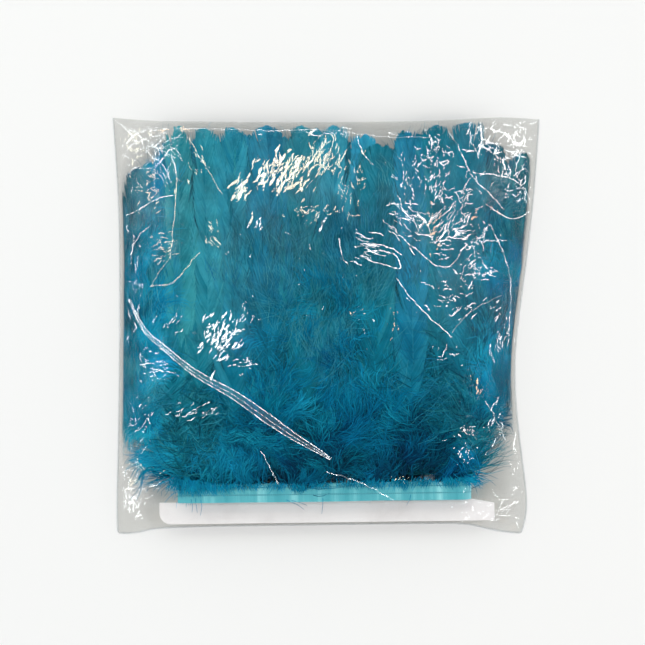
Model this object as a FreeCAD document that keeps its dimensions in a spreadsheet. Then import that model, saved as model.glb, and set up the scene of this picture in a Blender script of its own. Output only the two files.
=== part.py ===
import FreeCAD, Part
import math
import os

import Sketcher

# Feather fringe trim, wound on a notched card and packed flat in an open-mouthed poly bag.
# The pack lies on its back film: +Z is up, +Y runs from the card to the mouth of the bag,
# and the origin is at the middle of the pack's footprint, on the surface that it lies on.

V = FreeCAD.Vector
doc = FreeCAD.newDocument("feather_fringe_pack")

DIMENSIONS = [
    # name, value in millimetres or degrees
    ("film_gauge", 0.15),
    ("weld_width", 1.2),
    ("crown_height", 31.5),
    ("card_gauge", 1.6),
    ("card_left", -117.7),
    ("card_right", 119.4),
    ("card_bottom", -139.0),
    ("flange_top", -123.7),
    ("shoulder_start", 103.5),
    ("shoulder_drop", 3.1),
    ("tongue_half_width", 96.0),
    ("tongue_top", -105.5),
    ("card_corner_radius", 8.0),
    ("card_level", 7.0),
    ("contents_angle", 0.75),
    ("contents_shift", -1.9),
    ("ribbon_width", 12.7),
    ("ribbon_gauge", 0.15),
    ("ribbon_bottom", -123.4),
    ("ribbon_length", 1829.0),
    ("ribbon_cut_end", -105.0),
    ("layer_pitch", 1.5),
    ("thread_gauge", 0.1),
    ("thread_width", 0.5),
    ("quill_radius", 0.35),
    ("quill_depth", 11.0),
    ("blade_gauge", 0.4),
    ("blade_half_width", 15.0),
    ("feather_reach", 250.0),
    ("feathers_per_row", 12),
    ("widest_fan", 9.4),
    ("narrowest_fan", 3.5),
    ("floor_row_level", 1.6),
    ("row_pitch_middle", 3.05),
    ("row_pitch_tip", 1.3),
]

FRONT_LAYERS = 5
BACK_LAYERS = 4
SKIN_GAP = 0.05        # between a ribbon ply and what it is laid on


def make_sheet():
    """The driving dimensions, one row each: a label and a value with that alias."""
    sheet = doc.addObject("Spreadsheet::Sheet", "dims")
    for row, (name, value) in enumerate(DIMENSIONS, start=1):
        sheet.set("A%d" % row, name)
        sheet.set("B%d" % row, str(value))
        sheet.setAlias("B%d" % row, name)
    doc.recompute()
    return sheet


dims = make_sheet()


def dim(name):
    return float(dims.get(name))


# ---------------------------------------------------------------- shared helpers

def bind_to_contents_frame(obj):
    """Everything wound on the card sits slightly askew in the bag, turned about +Z."""
    obj.Placement = FreeCAD.Placement(V(0, 0, 0), FreeCAD.Rotation(V(0, 0, 1), 1))
    obj.setExpression("Placement.Rotation.Angle", "dims.contents_angle * 1 deg")
    obj.setExpression("Placement.Base.x", "dims.contents_shift * 1 mm")


def new_body(label):
    body = doc.addObject("PartDesign::Body", label)
    body.Label = label
    return body


def origin_plane(body, role):
    for feature in body.Origin.OriginFeatures:
        if feature.Role == role:
            return feature
    raise ValueError("no origin plane " + role)


def new_sketch(body, name, role, offset_alias_expression):
    """A sketch on one of the body's own planes, lifted along the plane's normal."""
    sketch = body.newObject("Sketcher::SketchObject", name)
    sketch.AttachmentSupport = [(origin_plane(body, role), "")]
    sketch.MapMode = "FlatFace"
    sketch.setExpression("AttachmentOffset.Base.z", offset_alias_expression)
    return sketch


def new_feature(label, shape):
    feature = doc.addObject("Part::Feature", label)
    feature.Label = label
    feature.Shape = shape
    return feature


def spline(points, parameters=None):
    curve = Part.BSplineCurve()
    if parameters is None:
        curve.interpolate(Points=points)
    else:
        curve.interpolate(Points=points, Parameters=parameters)
    return curve


# ---------------------------------------------------------------- the bag

# Control points of the front film up the bag, from the bottom fold to the mouth: how far up
# (0 to 1), the film's left and right edges, its height as a part of the crown height, and the
# half-width over which it is full.
BAG_STATIONS = [
    (0.0000, -147.5, 138.5, 0.000, 126.0),
    (0.0045, -147.7, 139.0, 0.430, 133.0),
    (0.0450, -148.4, 143.5, 0.535, 136.0),
    (0.1300, -147.8, 141.0, 0.590, 137.0),
    (0.2500, -147.0, 136.0, 0.960, 141.0),
    (0.4200, -146.4, 132.0, 1.000, 142.0),
    (0.6100, -146.2, 140.5, 0.940, 144.0),
    (0.7800, -146.4, 146.6, 0.720, 144.0),
    (0.9100, -149.0, 149.6, 0.520, 144.0),
    (1.0000, -151.0, 151.0, 0.440, 144.0),
]

# Across the bag: the film's bottom edge rises over the card and drops into an ear at each corner.
BOTTOM_EDGE = [
    (-147.5, -146.8),
    (-138.0, -147.6),
    (-128.0, -144.8),
    (-119.0, -142.9),
    (-62.0, -141.6),
    (0.0, -140.8),
    (62.0, -140.0),
    (94.0, -139.6),
    (108.0, -141.3),
    (122.0, -146.0),
    (138.5, -146.7),
]
MOUTH_EDGE = [148.2, 147.4, 146.6, 145.9, 145.3, 145.2, 145.8, 147.6, 148.8, 148.6, 147.2]

SIDE_SHARPNESS = 9.0       # power of the curve that brings the film down to its side welds
EAR_LIFT = 0.4             # the two films part this much in the slack corners


def film_poles():
    """Control points of the front film's underside: one row for each station up the bag."""
    gauge = dim("film_gauge")
    crown = dim("crown_height")
    bottom_left = BOTTOM_EDGE[0][0]
    bottom_span = BOTTOM_EDGE[-1][0] - bottom_left
    rows = []
    for up, left, right, height_part, full_half_width in BAG_STATIONS:
        row = []
        for (bottom_x, bottom_y), mouth_y in zip(BOTTOM_EDGE, MOUTH_EDGE):
            across = (bottom_x - bottom_left) / bottom_span
            x = left + (right - left) * across
            y = bottom_y + (mouth_y - bottom_y) * up
            outside = min(1.0, abs(x - dim("contents_shift")) / full_half_width)
            fullness = math.sqrt(1.0 - outside ** SIDE_SHARPNESS)
            on_edge = across in (0.0, 1.0) or up == 0.0
            lift = 0.0 if on_edge else EAR_LIFT
            z = gauge + lift + crown * height_part * fullness
            if on_edge:
                z = gauge
            row.append(V(x, y, z))
        rows.append(row)
    return rows


def clamped_knots(count, degree):
    """Knots and their multiplicities for a curve that starts and ends on its control points."""
    spans = count - degree
    knots = [float(step) for step in range(spans + 1)]
    multiplicities = [degree + 1] + [1] * (spans - 1) + [degree + 1]
    return knots, multiplicities


def film_surface():
    poles = film_poles()
    degree = 3
    up_knots, up_multiplicities = clamped_knots(len(poles), degree)
    across_knots, across_multiplicities = clamped_knots(len(poles[0]), degree)
    surface = Part.BSplineSurface()
    surface.buildFromPolesMultsKnots(
        poles, up_multiplicities, across_multiplicities, up_knots, across_knots,
        False, False, degree, degree)
    return surface


def flattened(edge, level):
    """The same free edge pressed flat onto a level, as a spline through it."""
    curve = edge.Curve
    first, last = edge.ParameterRange
    steps = 24
    points = []
    for step in range(steps + 1):
        point = curve.value(first + (last - first) * step / steps)
        points.append(V(point.x, point.y, level))
    return spline(points)


def weld_strip(label, curve, shift, height):
    """A welded strip between a film edge and the same edge moved outwards."""
    inner = curve.toShape()
    outer = inner.copy()
    outer.translate(shift)
    ends = []
    for index in (0, 1):
        start = inner.Vertexes[index].Point
        finish = outer.Vertexes[index].Point
        ends.append(Part.LineSegment(start, finish).toShape())
    wire = Part.Wire(Part.__sortEdges__([inner, ends[0], outer, ends[1]]))
    return new_feature(label, Part.Face(wire).extrude(V(0, 0, height)))


def make_bag():
    gauge = dim("film_gauge")
    weld = dim("weld_width")
    surface = film_surface()
    front = surface.toShape().extrude(V(0, 0, gauge))

    # The surface's u runs up the bag and its v runs across it.
    u_first, u_last, v_first, v_last = surface.bounds()
    bottom = flattened(surface.uIso(u_first).toShape(), 0.0)
    mouth = flattened(surface.uIso(u_last).toShape(), 0.0)
    left = flattened(surface.vIso(v_first).toShape(), 0.0)
    right = flattened(surface.vIso(v_last).toShape(), 0.0)
    outline = Part.Wire(Part.__sortEdges__([c.toShape() for c in (bottom, right, mouth, left)]))
    back = Part.Face(outline).extrude(V(0, 0, gauge))

    return [
        new_feature("bag_front_film", front),
        new_feature("bag_back_film", back),
        weld_strip("left_side_weld", left, V(-weld, 0, 0), 2 * gauge),
        weld_strip("right_side_weld", right, V(weld, 0, 0), 2 * gauge),
        weld_strip("bottom_weld", bottom, V(0, -weld, 0), 2 * gauge),
    ]


# ---------------------------------------------------------------- the winding card

# Corners of the card, counter-clockwise from the bottom left one, which is rounded.
CARD_CORNERS = [
    ("dims.card_left", "dims.card_bottom"),
    ("dims.card_right", "dims.card_bottom"),
    ("dims.card_right", "dims.flange_top - dims.shoulder_drop"),
    ("dims.shoulder_start", "dims.flange_top"),
    ("dims.tongue_half_width", "dims.flange_top"),
    ("dims.tongue_half_width", "dims.tongue_top"),
    ("-dims.tongue_half_width", "dims.tongue_top"),
    ("-dims.tongue_half_width", "dims.flange_top"),
    ("dims.card_left", "dims.flange_top"),
]


def draw_bound_polygon(sketch, corners):
    """Closed straight-sided outline whose corners are held by expressions on the sheet."""
    points = []
    for x_expression, y_expression in corners:
        points.append(V(sketch.evalExpression(x_expression), sketch.evalExpression(y_expression), 0))
    count = len(points)
    for index in range(count):
        sketch.addGeometry(Part.LineSegment(points[index], points[(index + 1) % count]), False)
    for index in range(count):
        sketch.addConstraint(Sketcher.Constraint("Coincident", index, 2, (index + 1) % count, 1))
    for index, (x_expression, y_expression) in enumerate(corners):
        across = Sketcher.Constraint("DistanceX", -1, 1, index, 1, points[index].x)
        upward = Sketcher.Constraint("DistanceY", -1, 1, index, 1, points[index].y)
        for constraint, expression in ((across, x_expression), (upward, y_expression)):
            number = sketch.addConstraint(constraint)
            sketch.setExpression("Constraints[%d]" % number, "(%s) * 1 mm" % expression)
    return points


def edge_standing_on(shape, corner):
    """Name of the upright edge of a padded outline at one of its corners."""
    for index, edge in enumerate(shape.Edges, start=1):
        ends = [vertex.Point for vertex in edge.Vertexes]
        if all(math.hypot(end.x - corner.x, end.y - corner.y) < 1e-6 for end in ends):
            return "Edge%d" % index
    raise ValueError("no edge at the corner")


def make_card():
    """A board strip: the trim is wound round its narrow tongue and the flange stays bare."""
    body = new_body("winding_card")
    sketch = new_sketch(body, "card_outline", "XY_Plane", "(dims.card_level - dims.card_gauge / 2) * 1 mm")
    corners = draw_bound_polygon(sketch, CARD_CORNERS)
    pad = body.newObject("PartDesign::Pad", "card_board")
    pad.Profile = sketch
    pad.setExpression("Length", "dims.card_gauge * 1 mm")
    doc.recompute()
    rounded = body.newObject("PartDesign::Fillet", "card_corner")
    rounded.Base = (pad, [edge_standing_on(pad.Shape, corners[0])])
    rounded.setExpression("Radius", "dims.card_corner_radius * 1 mm")
    bind_to_contents_frame(body)
    return body


# ---------------------------------------------------------------- the ribbon and its stitching

def front_level(layer, lift):
    """Height of a line lying lift above the card-side face of a front layer, 1 innermost."""
    return dim("card_level") + dim("card_gauge") / 2 + (layer - 1) * dim("layer_pitch") + lift


def back_level(layer, lift):
    return dim("card_level") - dim("card_gauge") / 2 - (layer - 1) * dim("layer_pitch") - lift


def quill_lift():
    return SKIN_GAP + dim("ribbon_gauge") + SKIN_GAP + dim("quill_radius")


def winding_start():
    """Where the ribbon starts on the innermost front layer, so that its length comes out right."""
    half = dim("tongue_half_width")
    used = (2 * BACK_LAYERS - 1) * 2 * half + half - dim("ribbon_cut_end")
    for layer in range(1, BACK_LAYERS + 1):
        left_radius = (front_level(layer, quill_lift()) - back_level(layer, quill_lift())) / 2
        right_radius = (front_level(layer + 1, quill_lift()) - back_level(layer, quill_lift())) / 2
        used += math.pi * (left_radius + right_radius)
    return dim("ribbon_length") - used - half


def winding_path(lift):
    """Lines and half circles of the winding at one lift, as (start, end) or (centre, radius, side)."""
    half = dim("tongue_half_width")
    path = []
    start = winding_start()
    for layer in range(1, BACK_LAYERS + 1):
        front = front_level(layer, lift)
        back = back_level(layer, lift)
        path.append(("line", V(start, front, 0), V(-half, front, 0)))
        path.append(("left", V(-half, (front + back) / 2, 0), (front - back) / 2))
        path.append(("line", V(-half, back, 0), V(half, back, 0)))
        outer = front_level(layer + 1, lift)
        path.append(("right", V(half, (outer + back) / 2, 0), (outer - back) / 2))
        start = half
    last = front_level(FRONT_LAYERS, lift)
    path.append(("line", V(start, last, 0), V(dim("ribbon_cut_end"), last, 0)))
    return path


def add_winding(sketch, lift):
    """Draws one side of the wound band and returns its two ends."""
    path = winding_path(lift)
    up = V(0, 0, 1)
    for kind, first, second in path:
        if kind == "line":
            sketch.addGeometry(Part.LineSegment(first, second), False)
        elif kind == "left":
            sketch.addGeometry(
                Part.ArcOfCircle(Part.Circle(first, up, second), math.pi / 2, 3 * math.pi / 2), False)
        else:
            sketch.addGeometry(
                Part.ArcOfCircle(Part.Circle(first, up, second), -math.pi / 2, math.pi / 2), False)
    return path[0][1], path[-1][2]


def make_wound_band(label, lift, gauge_name, top_expression, width_name):
    """A flat band wound round the card's tongue: a spiral outline padded by the band's width."""
    body = new_body(label)
    # The plane's normal is -Y, so the sketch is lifted by minus the band's top edge.
    sketch = new_sketch(body, label + "_spiral", "XZ_Plane", "(%s) * -1 mm" % top_expression)
    inner_start, inner_end = add_winding(sketch, lift)
    outer_start, outer_end = add_winding(sketch, lift + dim(gauge_name))
    sketch.addGeometry(Part.LineSegment(inner_start, outer_start), False)
    sketch.addGeometry(Part.LineSegment(inner_end, outer_end), False)
    pad = body.newObject("PartDesign::Pad", label + "_band")
    pad.Profile = sketch
    pad.setExpression("Length", "dims.%s * 1 mm" % width_name)
    bind_to_contents_frame(body)
    return body


def make_ribbon():
    outer_lift = quill_lift() + dim("quill_radius") + SKIN_GAP
    thread_lift = outer_lift + dim("ribbon_gauge")
    top = "dims.ribbon_bottom + dims.ribbon_width"
    return [
        make_wound_band("ribbon_inner_ply", SKIN_GAP, "ribbon_gauge", top, "ribbon_width"),
        make_wound_band("ribbon_outer_ply", outer_lift, "ribbon_gauge", top, "ribbon_width"),
        make_wound_band("stitch_line_upper", thread_lift, "thread_gauge",
                        "dims.ribbon_bottom + dims.ribbon_width * 0.82", "thread_width"),
        make_wound_band("stitch_line_lower", thread_lift, "thread_gauge",
                        "dims.ribbon_bottom + dims.ribbon_width * 0.42", "thread_width"),
    ]


# ---------------------------------------------------------------- the feathers

# Along a feather, from where it leaves the ribbon: how far (as a part of its reach), and how much
# its height follows its row's level at the header, in the middle of the pack and at the tips.
ROW_PROFILE = [
    (-0.01, 1.00, 0.00, 0.00),
    (0.03, 1.00, 0.00, 0.00),
    (0.20, 0.35, 0.65, 0.00),
    (0.42, 0.00, 1.00, 0.00),
    (0.72, 0.00, 0.62, 0.38),
    (1.04, 0.00, 0.00, 1.00),
]

# Half-outline of a blade: how far along, and its half-width as a part of the widest.
BLADE_OUTLINE = [
    (0.010, 0.05),
    (0.140, 0.52),
    (0.480, 1.00),
    (0.800, 0.84),
    (0.960, 0.36),
]

REACH_PATTERN = [1.0, 0.965, 0.99, 0.95, 1.005, 0.975, 0.955]    # lengths of neighbouring feathers
PLY_OFFSET = 0.35                                                # neighbours pass over and under


def row_levels(row):
    """Heights of a row at the header, mid-way and at its tips. Row 0 lies on the back film."""
    if row < BACK_LAYERS:
        header = back_level(BACK_LAYERS - row, quill_lift())
    else:
        header = front_level(row - BACK_LAYERS + 1, quill_lift())
    middle = dim("floor_row_level") + row * dim("row_pitch_middle")
    tip = dim("floor_row_level") + row * dim("row_pitch_tip")
    return header, middle, tip


def make_feather(row, index, half_width):
    """One feather, pointing along +Y from the middle of the ribbon's top edge."""
    full_reach = dim("feather_reach")
    reach = full_reach * REACH_PATTERN[(index + 2 * row) % len(REACH_PATTERN)]
    header, middle, tip = row_levels(row)
    offset = PLY_OFFSET if index % 2 else -PLY_OFFSET
    gauge = dim("blade_gauge")

    profile = []
    for along, header_share, middle_share, tip_share in ROW_PROFILE:
        level = header * header_share + middle * middle_share + tip * tip_share
        profile.append(V(-half_width, along * full_reach, level + offset - gauge / 2))
    lower = spline(profile, [along for along, _, _, _ in ROW_PROFILE]).toShape()
    band = lower.extrude(V(2 * half_width, 0, 0)).extrude(V(0, 0, gauge))

    right = [V(width * half_width, along * reach, 0) for along, width in BLADE_OUTLINE]
    left = [V(-point.x, point.y, 0) for point in right]
    tip_point = V(0, reach, 0)
    outline = Part.Wire([
        spline(right).toShape(),
        Part.Arc(right[-1], tip_point, left[-1]).toShape(),
        spline(list(reversed(left))).toShape(),
        Part.LineSegment(left[0], right[0]).toShape(),
    ])
    blade = band.common(Part.Face(outline).extrude(V(0, 0, dim("crown_height"))))

    quill = Part.makeCylinder(dim("quill_radius"), dim("quill_depth") + 0.03 * reach,
                              V(0, -dim("quill_depth"), header), V(0, 1, 0))
    return quill.fuse(blade).removeSplitter().Solids[0]


def make_feather_row(label, row):
    """A row of separate feathers along one layer of the winding, fanned out sideways."""
    half = dim("tongue_half_width")
    count = int(dim("feathers_per_row"))
    rows = FRONT_LAYERS + BACK_LAYERS
    fan = dim("widest_fan") + (dim("narrowest_fan") - dim("widest_fan")) * row / (rows - 1)
    root = dim("ribbon_bottom") + dim("ribbon_width")
    first_layer = row == BACK_LAYERS
    feathers = []
    for index in range(count):
        x = half * ((2 * index + 1) / count - 1)
        if first_layer and x > winding_start():
            continue
        feather = make_feather(row, index, dim("blade_half_width"))
        feather.rotate(V(0, 0, 0), V(0, 0, 1), -fan * x / half)
        feather.translate(V(x, root, 0))
        feathers.append(feather)
    group = new_feature(label, Part.makeCompound(feathers))
    bind_to_contents_frame(group)
    return group


def make_feathers():
    groups = []
    for layer in range(1, BACK_LAYERS + 1):
        groups.append(make_feather_row("feathers_back_%d" % layer, BACK_LAYERS - layer))
    for layer in range(1, FRONT_LAYERS + 1):
        groups.append(make_feather_row("feathers_front_%d" % layer, BACK_LAYERS + layer - 1))
    return groups


# ---------------------------------------------------------------- build, test and write

subparts = make_bag()
subparts.append(make_card())
subparts.extend(make_ribbon())
subparts.extend(make_feathers())
doc.recompute()

for obj in doc.Objects:
    bad = [state for state in obj.State if state in ("Invalid", "Error")]
    if bad:
        raise RuntimeError("%s is %s" % (obj.Label, bad))

os.makedirs("parts", exist_ok=True)
for obj in subparts:
    shape = obj.Shape
    if shape.isNull() or not shape.isValid() or not shape.Solids:
        raise RuntimeError(obj.Label + " has no valid solid")
    shape.exportStep(os.path.join("parts", obj.Label + ".step"))
    box = shape.BoundBox
    print("%-20s %3d solids %10.1f mm3  x %.1f..%.1f  y %.1f..%.1f  z %.2f..%.2f" % (
        obj.Label, len(shape.Solids), shape.Volume,
        box.XMin, box.XMax, box.YMin, box.YMax, box.ZMin, box.ZMax))
print("winding starts at x = %.1f" % winding_start())
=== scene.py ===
import math

import bpy
import numpy as np
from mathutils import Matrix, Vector
from mathutils.bvhtree import BVHTree


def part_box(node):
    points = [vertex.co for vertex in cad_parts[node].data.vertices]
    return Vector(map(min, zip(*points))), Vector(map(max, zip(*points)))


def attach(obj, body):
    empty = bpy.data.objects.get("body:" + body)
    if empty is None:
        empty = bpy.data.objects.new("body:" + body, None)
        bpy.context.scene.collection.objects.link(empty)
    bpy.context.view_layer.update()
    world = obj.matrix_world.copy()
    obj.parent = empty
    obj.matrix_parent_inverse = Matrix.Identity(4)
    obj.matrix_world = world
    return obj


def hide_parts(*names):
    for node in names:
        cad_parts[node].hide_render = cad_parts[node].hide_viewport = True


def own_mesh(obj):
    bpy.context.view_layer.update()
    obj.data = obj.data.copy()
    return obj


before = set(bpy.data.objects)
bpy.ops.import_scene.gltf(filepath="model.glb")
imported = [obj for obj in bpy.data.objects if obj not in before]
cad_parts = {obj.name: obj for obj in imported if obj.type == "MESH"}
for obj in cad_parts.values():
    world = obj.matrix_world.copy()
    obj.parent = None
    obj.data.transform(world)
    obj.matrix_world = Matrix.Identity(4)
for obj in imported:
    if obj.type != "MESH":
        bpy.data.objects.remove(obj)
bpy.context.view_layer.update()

# Lengths in this script are millimetres until a mesh is made, where they become metres.
MM = 0.001
SEED = 20
rng = np.random.default_rng(SEED)


# ---- the frame, in millimetres

def node_box(name):
    low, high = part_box(name)
    return np.array(low) / MM, np.array(high) / MM


def node_tree(name):
    """A node's faces, for finding where rays meet them."""
    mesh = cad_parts[name].data
    return BVHTree.FromPolygons([v.co for v in mesh.vertices], [p.vertices for p in mesh.polygons])


def middle_line(name, along, across):
    """Middle of a thin strip node as (position along, position across), half-way between its edges."""
    low, high = node_box(name)
    tree = node_tree(name)
    stations = np.arange(low[along] + 0.5, high[along], 2.0)
    outside = 5.0                         # rays start this far beside the strip
    middles = []
    for station in stations:
        edges = []
        for start, way in ((low[across] - outside, 1.0), (high[across] + outside, -1.0)):
            place, ray = Vector((0.0, 0.0, (low[2] + high[2]) / 2)), Vector((0.0, 0.0, 0.0))
            place[along], place[across], ray[across] = station, start, way
            hit = tree.ray_cast(place * MM, ray)[0]
            edges.append(hit[across] / MM if hit else start + outside * way)
        middles.append(sum(edges) / 2)
    return stations, np.array(middles)


def mouth_line():
    """The back film's edge at the bag's mouth, as x and y."""
    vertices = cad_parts["bag_back_film"].data.vertices
    points = np.empty(len(vertices) * 3)
    vertices.foreach_get("co", points)
    points = points.reshape(-1, 3) / MM
    points = points[points[:, 1] > 140.0]
    points = points[np.argsort(points[:, 0])]
    return points[:, 0], points[:, 1]


LEFT_WELD = middle_line("left_side_weld", 1, 0)
RIGHT_WELD = middle_line("right_side_weld", 1, 0)
BOTTOM_WELD = middle_line("bottom_weld", 0, 1)
MOUTH_EDGE = mouth_line()
FILM_LOW, FILM_HIGH = node_box("bag_front_film")
RIBBON_LOW, RIBBON_HIGH = node_box("ribbon_outer_ply")
CARD_LOW, CARD_HIGH = node_box("winding_card")

CONTENTS_ANGLE = math.radians(0.75)      # the wound card lies slightly askew in the bag
CONTENTS_SHIFT = -1.9
RIBBON_BOTTOM = -123.4
RIBBON_WIDTH = 12.7
RIBBON_TOP = RIBBON_BOTTOM + RIBBON_WIDTH
TONGUE_HALF = 96.0
CARD_GAUGE = CARD_HIGH[2] - CARD_LOW[2]
CARD_LEVEL = (CARD_HIGH[2] + CARD_LOW[2]) / 2
PLY_STACK = 1.15                          # inner ply, quills and outer ply of one layer
FRONT_LAYERS = 5
BACK_LAYERS = 4
WINDING_HEIGHT = RIBBON_HIGH[2] - RIBBON_LOW[2]
LAYER_PITCH = (WINDING_HEIGHT - CARD_GAUGE - 2 * PLY_STACK) / (FRONT_LAYERS + BACK_LAYERS - 2)


def left_edge(y):
    return np.interp(y, *LEFT_WELD)


def right_edge(y):
    return np.interp(y, *RIGHT_WELD)


def bottom_edge(x):
    return np.interp(x, *BOTTOM_WELD)


def mouth_edge(x):
    return np.interp(x, *MOUTH_EDGE)


def side_distance(x, y):
    return np.minimum(x - left_edge(y), right_edge(y) - x)


def edge_distance(x, y):
    return np.minimum(side_distance(x, y), np.minimum(y - bottom_edge(x), mouth_edge(x) - y))


def front_level(layer, lift):
    """Height of a layer of the winding over the card; back_level is the same under the card."""
    return CARD_LEVEL + CARD_GAUGE / 2 + (layer - 1) * LAYER_PITCH + lift


def back_level(layer, lift):
    return CARD_LEVEL - CARD_GAUGE / 2 - (layer - 1) * LAYER_PITCH - lift


# ---- noise and small maths

def smooth(low, high, value):
    t = np.clip((value - low) / (high - low), 0.0, 1.0)
    return t * t * (3 - 2 * t)


def noise(x, y, seed):
    """Smooth noise from about -1 to 1 with features one unit wide."""
    table = np.random.default_rng(seed).permutation(256)
    angles = np.random.default_rng(seed + 1).uniform(0, 2 * math.pi, 256)
    column, row = np.floor(x).astype(int), np.floor(y).astype(int)
    fx, fy = x - column, y - row

    def corner(dx, dy):
        index = table[(table[(column + dx) % 256] + row + dy) % 256]
        return np.cos(angles[index]) * (fx - dx) + np.sin(angles[index]) * (fy - dy)

    sx, sy = (f * f * f * (f * (f * 6 - 15) + 10) for f in (fx, fy))
    low = corner(0, 0) * (1 - sx) + corner(1, 0) * sx
    high = corner(0, 1) * (1 - sx) + corner(1, 1) * sx
    return 1.5 * (low * (1 - sy) + high * sy)


def to_bag(points):
    """Points of the trim, turned and moved to where it lies in the bag."""
    c, s = math.cos(CONTENTS_ANGLE), math.sin(CONTENTS_ANGLE)
    out = points.copy()
    out[..., 0] = points[..., 0] * c - points[..., 1] * s + CONTENTS_SHIFT
    out[..., 1] = points[..., 0] * s + points[..., 1] * c
    return out


def beside(heading, roll=0.0):
    """Unit directions to the right of headings, which run clockwise from +Y, rolled up by an angle."""
    return np.stack([np.cos(heading) * np.cos(roll), -np.sin(heading) * np.cos(roll),
                     np.sin(roll) + 0 * heading], -1)


# ---- the room under the front film

BLUR = (0.1, 0.24, 0.32, 0.24, 0.1)
MAP_SIZE = 121


def blur(heights, axis):
    """Heights averaged with their neighbours along one axis, so that the frame mesh's facets vanish."""
    pad = [(0, 0), (0, 0)]
    pad[axis] = (2, 2)
    padded = np.pad(heights, pad, mode="edge")
    count = heights.shape[axis]
    return sum(weight * np.take(padded, range(start, start + count), axis=axis)
               for start, weight in enumerate(BLUR))


def film_ceiling_map():
    """Height of the CAD front film on a coarse grid, for drawing the film and pressing feathers."""
    tree = node_tree("bag_front_film")
    xs = np.linspace(FILM_LOW[0], FILM_HIGH[0], MAP_SIZE)
    ys = np.linspace(FILM_LOW[1], FILM_HIGH[1], MAP_SIZE)
    heights = np.zeros((MAP_SIZE, MAP_SIZE))
    for row, y in enumerate(ys):
        for column, x in enumerate(xs):
            hit = tree.ray_cast(Vector((x * MM, y * MM, 0.2)), Vector((0, 0, -1)))[0]
            heights[row, column] = hit.z / MM if hit else 0.3
    for axis in (0, 1, 0, 1):
        heights = blur(heights, axis)
    return xs, ys, np.pad(heights, 1, mode="edge")


CEILING_X, CEILING_Y, CEILING = film_ceiling_map()


def spline_weights(share):
    """Weights of four neighbouring samples of a smooth curve, a share of the way along the middle gap."""
    return [(1 - share) ** 3 / 6, (3 * share ** 3 - 6 * share ** 2 + 4) / 6,
            (1 + 3 * share + 3 * share ** 2 - 3 * share ** 3) / 6, share ** 3 / 6]


def frame_ceiling(x, y):
    """Height of the frame's front film over a point, smoothly between the samples of the map."""
    last = MAP_SIZE - 1.001
    column = np.clip((x - CEILING_X[0]) / (CEILING_X[1] - CEILING_X[0]), 0, last)
    row = np.clip((y - CEILING_Y[0]) / (CEILING_Y[1] - CEILING_Y[0]), 0, last)
    c0, r0 = column.astype(int), row.astype(int)
    height = 0.0
    for up, row_weight in enumerate(spline_weights(row - r0)):
        for over, column_weight in enumerate(spline_weights(column - c0)):
            height = height + row_weight * column_weight * CEILING[r0 + up, c0 + over]
    return height


SLACK_RISE = 30.5         # the slack film rises this far in a curve from each side weld
SLACK_REACH = 140.0
SEALED_HEIGHT = 0.5
CARD_COVER = 9.2          # height of the film where it is drawn down over the card
CARD_COVER_RISE = (-127.5, -123.0)
CARD_ZONE = -110.0
MOUTH_DROP = 6.0          # towards the mouth the film sags from MOUTH_DROP_START by this much
MOUTH_DROP_START = 40.0


def soft_min(first, second, blend_width):
    """The smaller of two heights, with the corner between them rounded off."""
    share = np.clip(0.5 + 0.5 * (second - first) / blend_width, 0.0, 1.0)
    return second + (first - second) * share - blend_width * share * (1 - share)


def ceiling(x, y):
    """Height of the front film over a point: the frame's, but slacker beside the side welds."""
    side = np.maximum(side_distance(x, y), 0.0)
    slack = SEALED_HEIGHT + SLACK_RISE * (1 - (1 - np.minimum(side / SLACK_REACH, 1.0)) ** 2.2)
    stiff = frame_ceiling(x, y)
    local_y = y * math.cos(CONTENTS_ANGLE) - x * math.sin(CONTENTS_ANGLE)
    over_card = CARD_COVER + (stiff - CARD_COVER) * smooth(*CARD_COVER_RISE, local_y)
    stiff = np.where(local_y < CARD_ZONE, np.minimum(stiff, over_card), stiff)
    stiff = stiff - MOUTH_DROP * (np.maximum(y - MOUTH_DROP_START, 0.0) / 108.0) ** 2
    return np.maximum(soft_min(stiff, slack, np.minimum(8.0, 0.3 * side)), 0.4)


def soft_limit(value, limit, margin):
    """Values past limit - margin are squeezed into the last margin before the limit."""
    over = np.maximum(value - (limit - margin), 0.0)
    return np.where(over > 0, limit - margin * np.exp(-over / margin), value)


EDGE_MARGIN = 6.0
SIDE_GAP = 2.6
MOUTH_LIMIT = 146.0
MOUTH_MARGIN = 3.0
FILM_CLEARANCE = 0.9
FIRM_SHARE = 0.75         # pieces higher than this share of the room are squeezed under the film


def press_into_bag(points):
    """Keeps soft pieces inside the bag: off its side welds, below its film, above its back."""
    out = points.copy()
    x, y, z = out[..., 0], out[..., 1], out[..., 2]
    y[...] = soft_limit(y, MOUTH_LIMIT, MOUTH_MARGIN)
    x[...] = soft_limit(x, right_edge(y) - SIDE_GAP, EDGE_MARGIN)
    x[...] = -soft_limit(-x, -left_edge(y) - SIDE_GAP, EDGE_MARGIN)
    top = np.maximum(ceiling(x, y) - FILM_CLEARANCE, 1.0)
    firm = FIRM_SHARE * top
    excess = np.maximum(z - firm, 0.0) / (top - firm)
    z[...] = np.where(excess > 0, firm + (top - firm) * excess / (1 + excess), np.maximum(z, 0.3))
    return out


# ---- mesh building

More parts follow.
